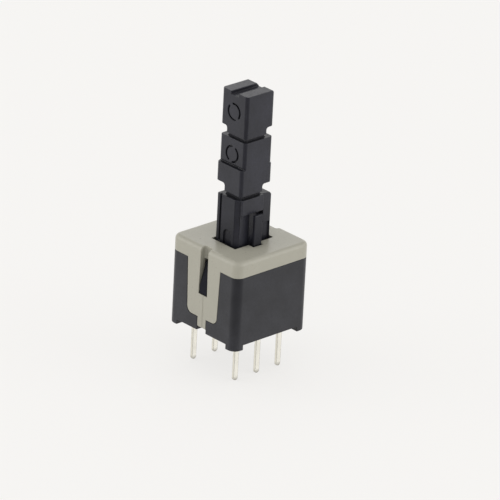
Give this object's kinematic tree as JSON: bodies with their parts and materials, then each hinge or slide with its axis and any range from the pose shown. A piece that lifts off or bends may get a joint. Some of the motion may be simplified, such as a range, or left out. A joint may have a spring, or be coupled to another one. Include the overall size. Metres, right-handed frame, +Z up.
{
  "type": "latching push switch",
  "caption": "Square board-mounted push switch that locks down and releases on the next press, with flat pins below and a long square stem notched to snap to length.",
  "frame": {"origin": "middle of the square body's footprint, at the height of the pin tips on which the switch stands", "axes": "+Z up along the stem, +X across the two rows of pins towards the stem's finger, +Y along the rows away from the break terminals"},
  "size_m": [0.0086, 0.0086, 0.0258],
  "materials": {
    "housing_plastic": "moulded black nylon, fine satin grain",
    "cover_plastic": "moulded warm grey acetal, satin",
    "plunger_plastic": "moulded black acetal, slightly scuffed satin",
    "tinned_terminal": "stamped brass, bright tin plate",
    "contact_strip": "phosphor bronze strip, silver plated",
    "spring_strip": "rolled stainless strip",
    "spring_wire": "drawn spring wire"
  },
  "bodies": {
    "case": {"housing": "housing_plastic", "cover": "cover_plastic", "lock_pin_spring": "spring_strip", "return_spring": "spring_wire", "terminal_break_left": "tinned_terminal", "terminal_common_left": "tinned_terminal", "terminal_make_left": "tinned_terminal", "terminal_break_right": "tinned_terminal", "terminal_common_right": "tinned_terminal", "terminal_make_right": "tinned_terminal"},
    "plunger": {"plunger": "plunger_plastic", "moving_contact_left": "contact_strip", "moving_contact_right": "contact_strip"},
    "lock_pin": {"lock_pin": "spring_wire"}
  },
  "joints": [
    {"name": "plunger_slide", "type": "slide", "parent": "case", "child": "plunger", "axis": [0, 0, -1], "range_m": [0, 0.0025], "stiffness_N_per_m": 400, "springref_m": -0.0025, "deforming": ["return_spring"]},
    {"name": "lock_pin_turn", "type": "hinge", "parent": "case", "child": "lock_pin", "pos_m": [0, 0.00249, 0.00465], "axis": [0, -1, 0], "range_deg": [0, 15.45]}
  ],
  "couplings": [
    {"joint": "lock_pin_turn", "follows": "plunger_slide", "rad_per_m": 107.16}
  ]
}
